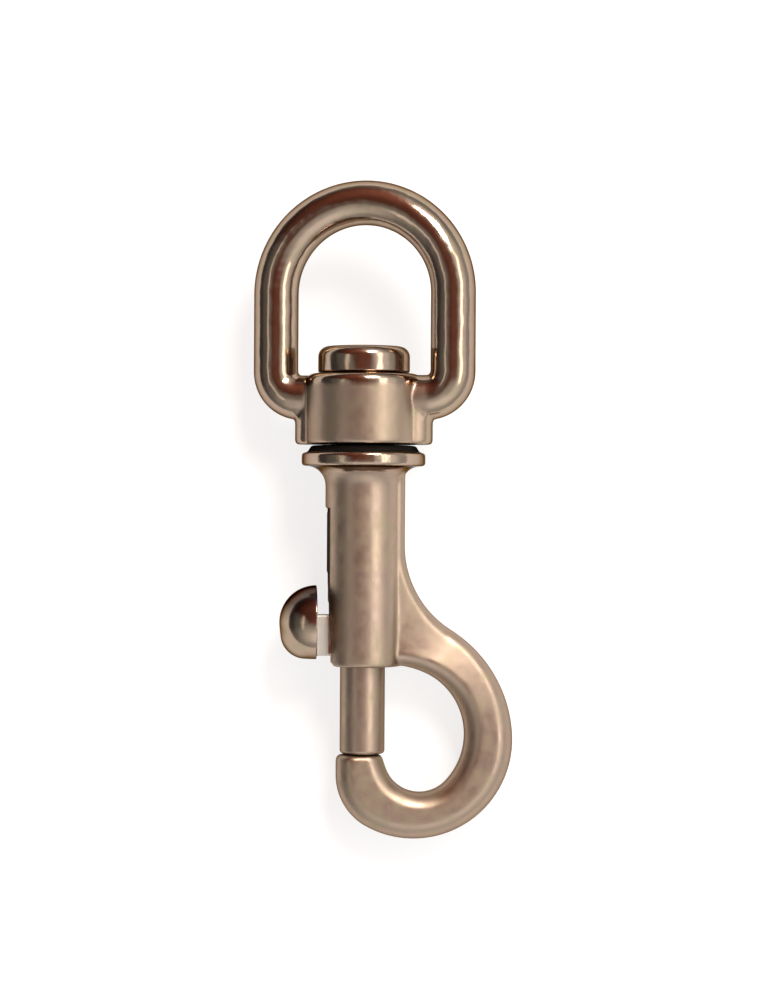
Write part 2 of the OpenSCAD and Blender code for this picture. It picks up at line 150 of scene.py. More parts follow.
class SnapHookSizes(bpy.types.PropertyGroup):
    """Sizes of the hook's bow, shoulder, toe and tip"""

    bow_x: length("Bow centre", "Distance of the bow's centre from the axis", 6.9)
    bow_drop: length("Bow depth", "Depth of the bow's centre below the barrel", 9.8)
    bow_out_r: length("Bow", "Radius of the outer edge round the bow", 13.2)
    shoulder_r: length("Shoulder", "Radius of the outer edge above the bow", 17.7)
    shoulder_from: turn("Shoulder start", "Where the shoulder starts", 4)
    neck_r: length("Neck", "Radius of the hollow below the rib", 13.4)
    toe_r: length("Toe", "Radius of the outer edge below the tip", 7.8)
    toe_from: turn("Toe start", "Where the toe starts, below level", 119)
    mouth_r: length("Mouth", "Radius of the inside of the bow", 9.05)
    mouth_dx: length("Mouth aside", "Inside centre from the outer one, sideways", -2.3)
    mouth_dz: length("Mouth above", "Inside centre above the outer one", 0.7)
    throat_r: length("Throat", "Radius of the inside below the tip", 4.8)
    throat_from: turn("Throat start", "Where the throat starts, below level", 43)
    under_r: length("Arm underside", "Radius of the arm's underside", 12.2)
    under_from: turn("Underside start", "Where the arm's underside starts", 65)
    thick: length("Thickness", "Thickness of the hook, front to back", 5.8)
    edge_round: length("Rounding", "Rounding of the section's corners", 2.3)
    ridge_round: length("Shoulder ridge", "Rounding along the shoulder's crisp ridge", 1.3)
    crown: length("Crown", "Fall of the flat faces towards their edges", 0.5)
    arm_crown: length("Arm crown", "The same fall on the arm and shoulder", 1.6)
    arm_lean: share("Arm lean", "How far that fall leans to the outer edge", 0.5)
    mouth_h: length("Mouth height", "From the barrel's end down to the tip", 11.75)
    tip_lean: turn("Tip lean", "Lean of the tip's inner side from upright", 20)
    tip_round: length("Tip rounding", "Rounding round the tip's end face", 0.8)


class SnapTurnedSizes(bpy.types.PropertyGroup):
    """Sizes of the rivet, bolt, thumb stud and spring"""

    head_d: length("Head", "Diameter of the rivet's head", 12.26)
    head_h: length("Head height", "Height of the rivet's head", 3.5)
    head_round: length("Head rounding", "Rounding of the head's upper edge", 1.4)
    head_foot: length("Head foot", "Rounding of the head's lower edge", 0.25)
    head_z: length("Head place", "Height of the head's underside", 10.67)
    shank_d: length("Shank", "Diameter of the rivet's shank", 7.5)
    spigot_l: length("Spigot", "Depth of the rivet's spigot in the barrel", 3.0)
    bolt_d: length("Bolt", "Diameter of the bolt", 6.0)
    bolt_low: length("Bolt nose", "Depth of the bolt's nose below the flange", 40.15)
    bolt_top: length("Bolt top", "Depth of the bolt's top below the flange", 20.62)
    bolt_edge: length("Bolt edge", "Rounding of the bolt's ends", 0.5)
    stud_r: length("Stud", "Radius of the stud's round upper part", 4.95)
    stud_x: length("Stud place", "Distance of the stud's flat side from the axis", 6.2)
    stud_z: length("Stud depth", "Depth of the stud's middle below the flange", 22.65)
    stud_low_r: length("Stud lower", "Radius of the fuller lower part", 3.4)
    stud_low_out: length("Stud lower out", "Stand-out of the fuller part's centre", 1.4)
    stud_low_drop: length("Stud lower drop", "Drop of the fuller part's centre", 1.5)
    neck_h: length("Stud neck", "Height of the stud's flat neck", 5.45)
    neck_t: length("Neck thickness", "Thickness of the neck in the slot", 2.8)
    neck_z: length("Neck place", "Depth of the neck's lower edge", 27.07)
    wire_d: length("Wire", "Diameter of the spring's wire", 0.6)
    coil_r: length("Coil", "Radius of the spring's coil", 2.45)
    coil_low: length("Coil foot", "Depth of the coil's lower end", 20.32)
    coil_top: length("Coil head", "Depth of the coil's upper end", 3.3)
    coil_turns: count("Turns", "Number of turns of the spring", 8)


class SnapFinish(bpy.types.PropertyGroup):
    """Colours and gloss of the plating"""

    nickel: colour("Nickel", "Plating where it is bright", (0.41, 0.315, 0.235))
    blush: colour("Blush", "Warm tint that drifts over the plating", (0.4, 0.3, 0.238))
    olive: colour("Olive", "Cool tint that drifts over the plating", (0.37, 0.31, 0.215))
    rim: colour("Grazing tint", "Tint of the plating seen at a grazing angle", (0.16, 0.12, 0.1))
    # Painted reflection: dark colour painted on the knob's upper side in place of a dark
    # reflection
    painted_reflection: colour("Tarnish", "Dark tarnish on the knob's upper side", (0.07, 0.045, 0.045))
    bare: colour("Bare", "Bare metal of the knob's neck", (0.62, 0.59, 0.55))
    satin_lift: number("Satin lift", "Brightness of the satin against the polish", 1.07)
    # Painted shade: near-black colour painted into the seam under the collar, on the slot's walls
    # and in the creases
    painted_shade: colour("Grime", "Old grease in the seam under the collar", (0.02, 0.017, 0.015))
    steel: colour("Spring steel", "Colour of the spring's wire", (0.55, 0.55, 0.56))
    eye_rough: share("Eye roughness", "Roughness of the polished parts", 0.15)
    cast_rough: share("Hook roughness", "Roughness of the satin casting", 0.4)
    table: colour("Table", "Colour of the table", (0.35, 0.35, 0.35))
    horizon: colour("Horizon", "Colour of the studio's walls", (0.3, 0.3, 0.3))
    overhead: colour("Overhead", "Colour of the studio's ceiling", (0.55, 0.54, 0.53))
    strip: colour("Strip", "Colour of the dark strip overhead", (0.25, 0.088, 0.058))
    shade: share("Shade", "Brightness of the left side against the right", 0.2)
    window: number("Window", "Extra brightness of the walls at half height", 1.0)
    table_lift: share("Table lift", "How much paler the table looks than it is lit", 0.75)


class SnapView(bpy.types.PropertyGroup):
    """Place of the camera and strength of the lamps"""

    distance: length("Distance", "Distance of the camera from the hook", 400.0)
    aim_x: length("Aim across", "Point that the camera aims at, across", 0.464)
    aim_y: length("Aim along", "Point that the camera aims at, along", 1.208)
    aim_z: length("Aim height", "Height of the point that the camera aims at", 8.3)
    side_turn: turn("Side turn", "How far the camera stands over to the side", 2.5)
    spin: turn("Spin", "Turn of the picture about the line of sight", 0.3)
    focal: number("Focal length", "Focal length for a picture 24 mm high", 72.012)
    key: number("Right lamp", "Power of the lamp at the right in watts", 0.68)
    upper: number("Upper lamp", "Power of the lamp beyond the eye in watts", 2.8)
    fill: number("Left lamp", "Power of the lamp at the left in watts", 0.1)


GROUPS = {
    "snap_eye": SnapEyeSizes,
    "snap_barrel": SnapBarrelSizes,
    "snap_hook": SnapHookSizes,
    "snap_turned": SnapTurnedSizes,
    "snap_finish": SnapFinish,
    "snap_view": SnapView,
}


def in_mm(group):
    """The group's values, with each length in millimetres"""
    values = {}
    for prop in group.bl_rna.properties:
        if prop.identifier in ("rna_type", "name"):
            continue
        value = getattr(group, prop.identifier)
        values[prop.identifier] = value * MM if prop.unit == "LENGTH" else value
    return SimpleNamespace(**values)


# Placing: from upright in millimetres to lying on the table in metres


def laid(context, roll):
    """Matrix that lays what is drawn upright about the barrel down in the frame"""
    eye = in_mm(context.scene.snap_eye)
    barrel = in_mm(context.scene.snap_barrel)
    collar_middle = (barrel.boss_h + END_CLEAR + eye.collar_h / 2) / MM
    origin = Vector(swivel["pos_m"]) - barrel_axis * collar_middle
    level = Vector((1, 0, 0))
    down = barrel_axis.cross(level)
    across = level * math.cos(roll) + down * math.sin(roll)
    back = barrel_axis.cross(across)
    axes = Matrix((across, back, barrel_axis)).transposed().to_4x4()
    return Matrix.Translation(origin) @ axes @ Matrix.Scale(1 / MM, 4)


def new_object(name, bm):
    mesh = bpy.data.meshes.new(name)
    bm.to_mesh(mesh)
    bm.free()
    obj = bpy.data.objects.new(name, mesh)
    bpy.context.scene.collection.objects.link(obj)
    return obj


def apply_modifiers(obj):
    bpy.context.view_layer.update()
    depsgraph = bpy.context.evaluated_depsgraph_get()
    mesh = bpy.data.meshes.new_from_object(obj.evaluated_get(depsgraph))
    obj.modifiers.clear()
    obj.data = mesh


def combine(obj, tool, operation):
    """Boolean of obj with a second closed solid, which is used up"""
    modifier = obj.modifiers.new("Combine", "BOOLEAN")
    modifier.operation = operation
    modifier.solver = "EXACT"
    modifier.object = tool
    apply_modifiers(obj)
    bpy.data.objects.remove(tool)
    if not obj.data.polygons:
        raise RuntimeError(f"{obj.name} is empty after a {operation.lower()}")


def melt(obj, voxel, passes):
    """One even skin over the piece, its creases run together as on a casting"""
    modifier = obj.modifiers.new("Skin", "REMESH")
    modifier.mode = "VOXEL"
    modifier.voxel_size = voxel
    apply_modifiers(obj)
    bm = bmesh.new()
    bm.from_mesh(obj.data)
    for _ in range(passes):
        bmesh.ops.smooth_vert(
            bm, verts=bm.verts, factor=0.5, use_axis_x=True, use_axis_y=True, use_axis_z=True
        )
    bm.to_mesh(obj.data)
    bm.free()


def finish_piece(context, obj, roll, slot, body, node):
    """Lays a piece down in the frame, gives it its material, hangs it on its body's empty and
    hides the CAD part that it stands in for
    """
    obj.data.transform(laid(context, roll))
    for polygon in obj.data.polygons:
        polygon.use_smooth = True
    obj.data.materials.clear()
    obj.data.materials.append(plate_material(context, slot))
    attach(obj, body)
    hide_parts(node)


# Steps that several shapes share


def rounded(bm, geom, radius, steps, affect="EDGES"):
    """Rounds edges or corners off by an even bevel"""
    bmesh.ops.bevel(
        bm,
        geom=geom,
        offset=radius,
        offset_type="OFFSET",
        affect=affect,
        segments=steps,
        profile=0.5,
        material=-1,
    )


def drawn_out(bm, faces, way):
    """Extrudes faces along a vector into a closed solid"""
    made = bmesh.ops.extrude_face_region(bm, geom=faces)
    verts = [g for g in made["geom"] if isinstance(g, bmesh.types.BMVert)]
    bmesh.ops.translate(bm, verts=verts, vec=way)
    bmesh.ops.recalc_face_normals(bm, faces=bm.faces)


def cut_away(bm, point, outward):
    """Cuts off what lies beyond a plane, and closes the cut"""
    bmesh.ops.bisect_plane(
        bm,
        geom=bm.verts[:] + bm.edges[:] + bm.faces[:],
        dist=1e-5,
        plane_co=point,
        plane_no=outward,
        clear_outer=True,
    )
    bmesh.ops.holes_fill(bm, edges=[e for e in bm.edges if e.is_boundary])


def bore_cutter(diameter, depth, middle_z):
    """Cylinder that cuts a bore along the barrel's axis"""
    bm = bmesh.new()
    bmesh.ops.create_cone(
        bm,
        cap_ends=True,
        segments=ROUND,
        radius1=diameter / 2,
        radius2=diameter / 2,
        depth=depth,
        matrix=Matrix.Translation((0, 0, middle_z)),
    )
    return new_object("bore", bm)


# Drawing in the half section, x from the axis and z up


def half_section(bm, corners):
    """Closed outline from (x, z, rounding) corners, each rounded by a vertex bevel"""
    verts = [bm.verts.new((x, 0, z)) for x, z, _ in corners]
    bm.faces.new(verts)
    sharp = [(vert, rounding) for vert, (_, _, rounding) in zip(verts, corners) if rounding > 0]
    for vert, rounding in sharp:
        rounded(bm, [vert], rounding, 10, "VERTICES")


def quarter_hollow(x, z, r):
    """Corners of a hollow quarter round a centre, from beside it up to above it"""
    angles = (math.radians(9 * i) for i in range(11))
    return [(x - r * math.cos(a), z + r * math.sin(a), 0) for a in angles]


def revolve(bm, corners):
    """Full turn of a half section about the barrel's axis"""
    section = bmesh.new()
    half_section(section, corners)
    bmesh.ops.delete(section, geom=section.faces[:], context="FACES_ONLY")
    on_axis = [e for e in section.edges if all(v.co.x < 1e-5 for v in e.verts)]
    bmesh.ops.delete(section, geom=on_axis, context="EDGES")
    bmesh.ops.spin(
        section,
        geom=section.verts[:] + section.edges[:],
        cent=(0, 0, 0),
        axis=(0, 0, 1),
        dvec=(0, 0, 0),
        angle=math.tau,
        steps=ROUND,
        use_merge=True,
        use_duplicate=False,
    )
    bmesh.ops.remove_doubles(section, verts=section.verts, dist=1e-4)
    bmesh.ops.dissolve_degenerate(section, dist=1e-5, edges=section.edges)
    bmesh.ops.recalc_face_normals(section, faces=section.faces)
    add_to(bm, section)


def add_to(bm, part):
    """Moves the geometry of one bmesh into another"""
    mesh = bpy.data.meshes.new("part")
    part.to_mesh(mesh)
    part.free()
    bm.from_mesh(mesh)
    bpy.data.meshes.remove(mesh)


def next_ring(bm, end):
    """Draws the bar's end face out by one more ring, and gives the new end face"""
    made = bmesh.ops.extrude_face_region(bm, geom=[end])
    if len(bm.faces) > len(end.verts) + 2:
        bmesh.ops.delete(bm, geom=[end], context="FACES_ONLY")
    return next(g for g in made["geom"] if isinstance(g, bmesh.types.BMFace))


def ray(angle):
    return Vector((math.cos(angle), math.sin(angle)))


def arc(steps, centre, r, start, end):
    """Points along an arc, without its last one"""
    return [centre + r * ray(start + (end - start) * i / steps) for i in range(steps)]


def line(steps, start, end):
    return [start.lerp(end, i / steps) for i in range(steps)]


# The eye


def bar_along(bm, eye, crown_z, leg_x, corner_z, foot_z, corner_x):
    """Round bar from the left foot up, over the crown and down to the right foot"""
    bar = bmesh.new()
    start = Matrix.Translation((0, 0, foot_z)) @ Matrix.Rotation(math.pi / 2, 4, "Y")
    made = bmesh.ops.create_circle(
        bar, cap_ends=True, segments=72, radius=eye.bar_d / 2, matrix=start
    )
    end = made["verts"][0].link_faces[0]

    def straight(offset, steps):
        nonlocal end
        for _ in range(steps):
            end = next_ring(bar, end)
            bmesh.ops.translate(bar, verts=end.verts[:], vec=Vector(offset) / steps)

    def bend(centre, angle, steps):
        nonlocal end
        turned = Matrix.Rotation(angle / steps, 3, "Y")
        for _ in range(steps):
            end = next_ring(bar, end)
            bmesh.ops.rotate(bar, verts=end.verts[:], cent=centre, matrix=turned)

    straight((-corner_x, 0, 0), 8)
    bend((-corner_x, 0, corner_z), math.pi / 2, 24)
    straight((0, 0, crown_z - corner_z), 12)
    bend((0, 0, crown_z), math.pi, 96)
    straight((0, 0, corner_z - crown_z), 12)
    bend((corner_x, 0, corner_z), math.pi / 2, 24)
    straight((-corner_x, 0, 0), 8)
    bmesh.ops.recalc_face_normals(bar, faces=bar.faces)
    add_to(bm, bar)


def make_ears(bm, eye, low_z, top_z):
    """The two ears, one long rounded block through the collar"""
    ear_x = (eye.ear_span - eye.ear_t) / 2
    block = bmesh.new()
    made = bmesh.ops.create_circle(
        block,
        cap_ends=True,
        segments=64,
        radius=eye.ear_t / 2,
        matrix=Matrix.Translation((0, 0, low_z)),
    )
    for vert in made["verts"]:
        vert.co.x += math.copysign(ear_x, vert.co.x)
    drawn_out(block, block.faces[:], (0, 0, top_z - low_z))
    low_edges = [e for e in block.edges if all(abs(v.co.z - low_z) < 1e-5 for v in e.verts)]
    rounded(block, low_edges, eye.low_round, 5)
    add_to(bm, block)


def ear_hollow(bm, eye, top_z, side):
    """Hollow fillet from one ear out to the bar above it"""
    fillet = bmesh.new()
    r = eye.ear_fillet
    revolve(fillet, [(0, 0, 0), (0, -r, 0), *quarter_hollow(eye.ear_t / 2 + r, -r, r)])
    half_t = 0.375 * eye.ear_t
    cut_away(fillet, (0, 0, 0), (-1, 0, 0))
    cut_away(fillet, (0, half_t, 0), (0, 1, 0))
    cut_away(fillet, (0, -half_t, 0), (0, -1, 0))
    bmesh.ops.recalc_face_normals(fillet, faces=fillet.faces)
    turned = Matrix.Rotation(0 if side > 0 else math.pi, 4, "Z")
    ear_x = (eye.ear_span - eye.ear_t) / 2
    bmesh.ops.transform(
        fillet, matrix=Matrix.Translation((side * ear_x, 0, top_z)) @ turned, verts=fillet.verts
    )
    add_to(bm, fillet)


def eye_mesh(eye, collar_z):
    bar_r = eye.bar_d / 2
    leg_x = eye.clear_w / 2 + bar_r
    collar_top = collar_z + eye.collar_h
    crown_z = collar_top + eye.clear_h + bar_r - leg_x
    corner_mid = bar_r + eye.corner_r
    foot_z = collar_top - eye.foot_drop - bar_r
    corner_z = foot_z + corner_mid
    parts = []
    for build in (
        lambda bm: bar_along(bm, eye, crown_z, leg_x, corner_z, foot_z, leg_x - corner_mid),
        lambda bm: make_ears(bm, eye, collar_z, foot_z),
        lambda bm: ear_hollow(bm, eye, foot_z - bar_r / 2, 1),
        lambda bm: ear_hollow(bm, eye, foot_z - bar_r / 2, -1),
        lambda bm: revolve(
            bm,
            [
                (0, collar_z, 0),
                (eye.collar_d / 2, collar_z, eye.low_round),
                (eye.collar_d / 2, collar_top, eye.top_round),
                (0, collar_top, 0),
            ],
        ),
    ):
        bm = bmesh.new()
        build(bm)
        parts.append(new_object("eye_part", bm))
    body = parts[0]
    for part in parts[1:]:
        combine(body, part, "UNION")
    bore = bore_cutter(eye.bore_d, 2 * eye.collar_h, collar_z + eye.collar_h / 2)
    combine(body, bore, "DIFFERENCE")
    return body


# The barrel with its hook


def hook_edges(barrel, hook, bolt_r):
    """Outer and inner edge of the hook, paired point by point from the rib to the tip"""
    bow = Vector((hook.bow_x, -barrel.barrel_l - hook.bow_drop))
    mouth = bow + Vector((hook.mouth_dx, hook.mouth_dz))
    shoulder = bow - (hook.shoulder_r - hook.bow_out_r) * ray(hook.shoulder_from)
    toe = bow + (hook.bow_out_r - hook.toe_r) * ray(-hook.toe_from)
    throat = mouth + (hook.mouth_r - hook.throat_r) * ray(-hook.throat_from)
    under = mouth - (hook.under_r - hook.mouth_r) * ray(hook.under_from)
    hollow_x = barrel.rib_reach + hook.neck_r
    reach = (hook.shoulder_r + hook.neck_r) ** 2 - (hollow_x - shoulder.x) ** 2
    hollow = Vector((hollow_x, shoulder.y + math.sqrt(reach)))
    meets = math.atan2(hollow.y - shoulder.y, hollow.x - shoulder.x)
    under_start = math.acos((bolt_r - under.x) / hook.under_r)
    throat_end = throat + hook.throat_r * ray(hook.tip_lean - math.pi)
    tip_z = -barrel.barrel_l - hook.mouth_h - hook.tip_round
    tip_inner = Vector(
        (throat_end.x - (tip_z - throat_end.y) * math.tan(hook.tip_lean), tip_z)
    )
    tip_outer = Vector((toe.x - hook.toe_r, tip_z))
    # Steps along the rib, the arm, over the shoulder, round the bow, its heel and the toe
    root, arm, over, round_bow, heel, front = 16, 16, 26, 20, 34, 26
    outer = (
        arc(root + arm, hollow, hook.neck_r, math.pi, math.pi + meets)
        + arc(over, shoulder, hook.shoulder_r, meets, hook.shoulder_from)
        + arc(round_bow, bow, hook.bow_out_r, hook.shoulder_from, -hook.throat_from)
        + arc(heel, bow, hook.bow_out_r, -hook.throat_from, -hook.toe_from)
        + arc(front, toe, hook.toe_r, -hook.toe_from, -math.pi)
        + line(4, Vector((toe.x - hook.toe_r, toe.y)), tip_outer)
    )
    inside = Vector((bolt_r / 3, hollow.y))
    inner = (
        line(root, inside, under + hook.under_r * ray(under_start))
        + arc(arm, under, hook.under_r, under_start, hook.under_from)
        + arc(over, mouth, hook.mouth_r, hook.under_from, 0)
        + arc(round_bow, mouth, hook.mouth_r, 0, -hook.throat_from)
        + arc(heel, throat, hook.throat_r, -hook.throat_from, -hook.toe_from)
        + arc(front, throat, hook.throat_r, -hook.toe_from, hook.tip_lean - math.pi)
        + line(4, throat_end, tip_inner)
    )
    stations = SimpleNamespace(grown=root + arm + over / 2, ridge=(root + arm, root + arm + over))
    return outer, inner, tip_outer, tip_inner, stations


RING = 64


def place_ring(face, outer, inner, section):
    """Moves a ring of the sweep to a rounded rectangle between two edge points. Its front
    falls by the crown to the outer edge, where it leans, and its back by the back crown."""
    middle = (outer + inner) / 2
    half_w = (outer - inner).length / 2
    half_t = section.half_t
    along = (outer - inner).normalized()
    roundest = 0.98 * min(half_w, half_t)
    for i, vert in enumerate(face.verts):
        angle = math.tau * (i + 0.5) / RING
        c, s = math.cos(angle), math.sin(angle)
        r = min(section.ridge if c > 0 and s < 0 else section.edge, roundest)
        across = math.copysign(half_w - r, c) + r * c
        depth = math.copysign(half_t - r, s) + r * s
        if s < 0:
            lean = section.lean
            fall = section.crown * ((across / half_w + lean) / (1 + lean)) ** 2
        else:
            fall = section.back_crown * (across / half_w) ** 2
        depth *= 1 - fall / half_t
        point = middle + across * along
        vert.co = (point.x, depth, point.y)


def sweep_hook(bm, barrel, hook, bolt_r):
    """The arm, bow, toe and tip as one bar swept between its two edges"""
    outer, inner, tip_outer, tip_inner, stations = hook_edges(barrel, hook, bolt_r)
    bar = bmesh.new()
    made = bmesh.ops.create_circle(bar, cap_ends=True, segments=RING, radius=1)
    end = made["verts"][0].link_faces[0]
    first, last = stations.ridge
    for i, (out_point, in_point) in enumerate(zip(outer, inner)):
        if i:
            end = next_ring(bar, end)
        grown = min(1.0, i / stations.grown)
        edge = barrel.rib_round + (hook.edge_round - barrel.rib_round) * grown
        fade = min(1.0, max(0.0, (i - first) / (last - first)))
        ridge = hook.ridge_round + (hook.edge_round - hook.ridge_round) * fade**2
        rise = min(1.0, i / first)
        section = SimpleNamespace(
            half_t=(barrel.rib_t + (hook.thick - barrel.rib_t) * grown) / 2,
            edge=edge,
            ridge=min(edge, ridge),
            crown=(hook.arm_crown + (hook.crown - hook.arm_crown) * fade) * rise,
            lean=hook.arm_lean * rise * (1 - fade),
            back_crown=hook.crown * rise,
        )
        place_ring(end, out_point, in_point, section)
    # The tip's end face, its edge rounded by rings that draw in
    steps = 8
    for i in range(steps + 1):
        end = next_ring(bar, end)
        angle = math.pi / 2 * i / steps
        inset = hook.tip_round * (1 - math.cos(angle))
        rise = Vector((0, hook.tip_round * math.sin(angle)))
        aside = Vector((inset, 0))
        section = SimpleNamespace(
            half_t=hook.thick / 2 - inset,
            edge=hook.edge_round - inset,
            ridge=hook.edge_round - inset,
            crown=hook.crown,
            lean=0,
            back_crown=hook.crown,
        )
        place_ring(end, tip_outer + rise + aside, tip_inner + rise - aside, section)
    bmesh.ops.recalc_face_normals(bar, faces=bar.faces)
    add_to(bm, bar)
    return outer[0].y


def make_rib(bm, barrel, low_z):
    """Rib down the hook's side of the barrel, its edges rounded"""
    block = bmesh.new()
    bmesh.ops.create_cube(block, size=1)
    top_z = -barrel.flange_t / 2
    size = (barrel.rib_reach, barrel.rib_t, top_z - low_z)
    bmesh.ops.scale(block, verts=block.verts, vec=size)
    place = (barrel.rib_reach / 2, 0, (top_z + low_z) / 2)
    bmesh.ops.translate(block, verts=block.verts, vec=place)
    outer = [e for e in block.edges if all(v.co.x > barrel.rib_reach / 2 for v in e.verts)]
    upright = [e for e in outer if abs(e.verts[0].co.z - e.verts[1].co.z) > barrel.rib_t]
    rounded(block, upright, barrel.rib_round, 8)
    add_to(bm, block)


def slot_cutter(barrel):
    """Prism that cuts the slot through the wall on the stud's side"""
    cutter = bmesh.new()
    low = -barrel.barrel_l
    half, wide, over = barrel.slot_w / 2, barrel.slot_mouth_w / 2, 1.0
    outline = [
        (-half, -barrel.slot_top),
        (half, -barrel.slot_top),
        (half, low + barrel.slot_mouth_l),
        (wide, low),
        (wide, low - over),
        (-wide, low - over),
        (-wide, low),
        (-half, low + barrel.slot_mouth_l),
    ]
    face = cutter.faces.new([cutter.verts.new((0, y, z)) for y, z in outline])
    drawn_out(cutter, [face], (-barrel.barrel_d, 0, 0))
    return new_object("slot_cutter", cutter)


def barrel_corners(barrel):
    """Half section of the barrel, its flange and the ring on top, from the lower end up"""
    r, flange_r, low = barrel.barrel_d / 2, barrel.flange_d / 2, -barrel.barrel_l
    least_step, ring_round = 0.05, 0.12
    flare = quarter_hollow(r + barrel.flare_r, -barrel.flange_t - barrel.flare_r, barrel.flare_r)
    reach = flange_r - barrel.rim_low
    flare = [corner for corner in flare if corner[0] < reach - least_step]
    return [
        (0, low, 0),
        (r, low, barrel.chamfer),
        *flare,
        (reach, -barrel.flange_t, 0),
        (flange_r, -barrel.flange_t, barrel.rim_low * 0.98),
        (flange_r, 0, barrel.rim_top),
        (barrel.boss_foot_d / 2, 0, 0),
        (barrel.boss_top_d / 2, barrel.boss_h, ring_round),
        (0, barrel.boss_h, 0),
    ]


def barrel_hook_mesh(barrel, hook, bolt_r):
    bm = bmesh.new()
    revolve(bm, barrel_corners(barrel))
    body = new_object("barrel_part", bm)
    bm = bmesh.new()
    hollow_z = sweep_hook(bm, barrel, hook, bolt_r)
    combine(body, new_object("hook_part", bm), "UNION")
    bm = bmesh.new()
    make_rib(bm, barrel, hollow_z - barrel.rib_round)
    combine(body, new_object("rib_part", bm), "UNION")
    over = 1.0
    depth = barrel.barrel_l + barrel.boss_h + 2 * over
    bore = bore_cutter(barrel.bore_d, depth, (barrel.boss_h - barrel.barrel_l) / 2)
    combine(body, bore, "DIFFERENCE")
    combine(body, slot_cutter(barrel), "DIFFERENCE")
    return body


# Materials


class Graph:
    """Node tree of a material or the world, with a short call for each kind of step"""

    def __init__(self, owner):
        owner.use_nodes = True
        self.nodes = owner.node_tree.nodes
        self.links = owner.node_tree.links

    def new(self, kind):
        return self.nodes.new(f"ShaderNode{kind}")

    def give(self, socket, value):
        """Sets a socket to a number or colour, or links it to an output"""
        if isinstance(value, bpy.types.NodeSocket):
            self.links.new(value, socket)
        elif socket.type == "RGBA":
            socket.default_value = (*value, 1)
        else:
            socket.default_value = value

    def maths(self, operation, *terms):
        node = self.new("Math")
        node.operation = operation
        for socket, term in zip(node.inputs, terms):
            self.give(socket, term)
        return node.outputs[0]

    def spread(self, value, low, high, to_low, to_high):
        """Takes a value from one range to another, held at its ends"""
        node = self.new("MapRange")
        ends = {"From Min": low, "From Max": high, "To Min": to_low, "To Max": to_high}
        for name, end in ends.items():
            self.give(node.inputs[name], end)
        self.give(node.inputs["Value"], value)
        return node.outputs["Result"]

    def between(self, value, low, high, edge):
        """1 where a value lies between two others, falling to 0 over an edge outside them"""
        start = self.spread(value, low - edge, low, 0, 1)
        return self.maths("MULTIPLY", start, self.spread(value, high, high + edge, 1, 0))

    def mixed(self, factor, first, second):
        node = self.new("Mix")
        node.data_type = "RGBA"
        for name, value in (("Factor", factor), ("A", first), ("B", second)):
            self.give(node.inputs[name], value)
        return node.outputs["Result"]

    def noise(self, vector, scale, detail, rough=0.5):
        node = self.new("TexNoise")
        for name, value in (("Scale", scale), ("Detail", detail), ("Roughness", rough)):
            self.give(node.inputs[name], value)
        self.give(node.inputs["Vector"], vector)
        return node.outputs["Fac"]

    def moved(self, vector, scale, rotation, location=(0, 0, 0)):
        node = self.new("Mapping")
        for name, value in (("Scale", scale), ("Rotation", rotation), ("Location", location)):
            self.give(node.inputs[name], value)
        self.give(node.inputs["Vector"], vector)
        return node.outputs["Vector"]

    def upright(self, matrix):
        """Place in millimetres in the upright drawing, z up the barrel's axis"""
        back = matrix.inverted()
        place = self.new("TexCoord").outputs["Object"]
        return self.moved(place, back.to_scale(), back.to_euler(), back.to_translation())

    def axes(self, vector):
        node = self.new("SeparateXYZ")
        self.give(node.inputs[0], vector)
        return node.outputs

    def bump(self, height, strength, distance, normal=None):
        node = self.new("Bump")
        self.give(node.inputs["Strength"], strength)
        self.give(node.inputs["Distance"], distance)
        self.give(node.inputs["Height"], height)
        if normal:
            self.give(node.inputs["Normal"], normal)
        return node.outputs["Normal"]


def zone(across, along, edge, tint=None, part=0.0, duller=0.0):
    """Where the plating differs: a range across and one along the barrel's axis, which fade
    over an edge, with a share of a tint and a step in roughness"""
    return SimpleNamespace(
        across=across, along=along, edge=edge, tint=tint, part=part, duller=duller
    )


def polished_zones(context, finish):
    """Where the polished parts differ"""
    eye = in_mm(context.scene.snap_eye)
    barrel = in_mm(context.scene.snap_barrel)
    turned = in_mm(context.scene.snap_turned)
    half, wall = eye.collar_d / 2, barrel.barrel_d / 2
    collar_low = barrel.boss_h + END_CLEAR
    collar = (collar_low + 0.7, collar_low + eye.collar_h - 2)
    knob = (-turned.stud_x - 2 * turned.stud_r, -turned.stud_x - 0.1)
    knob_top = (-turned.stud_z + 2.6, -turned.stud_z + turned.stud_r)
    neck = (-turned.neck_z, -turned.neck_z + turned.neck_h)
    return (
        # The collar is duller than the bar, apart from its edges
        zone((-half, half), collar, edge=0.8, duller=0.26),
        # Painted dark reflection on the knob's upper side
        zone(knob, knob_top, edge=2.5, tint=finish.painted_reflection, part=0.85),
        # Bare metal on the knob's neck
        zone((-turned.stud_x + 0.05, 0.4 - wall), neck, 0.06, finish.bare, part=1, duller=0.4),
    )


def satin_zones(context, finish):
    """Where the satin casting differs"""
    barrel = in_mm(context.scene.snap_barrel)
    wall, rim = barrel.barrel_d / 2, barrel.flange_d / 2
    polish = finish.eye_rough - finish.cast_rough
    slot = (0.3 - barrel.barrel_l, -barrel.slot_top)
    return (
        # Polished flange
        zone((-rim, rim), (-barrel.flange_t - 0.6, 0.2), edge=0.4, duller=polish),
        # Painted shade in the seam under the collar
        zone((-rim, rim), (0.1, barrel.boss_h + 0.07), 0.12, finish.painted_shade, part=1, duller=0.5),
        # Painted shade on the walls of the slot
        zone((-1.1 * wall, 0.5 - wall), slot, 0.12, finish.painted_shade, part=0.85, duller=0.4),
    )


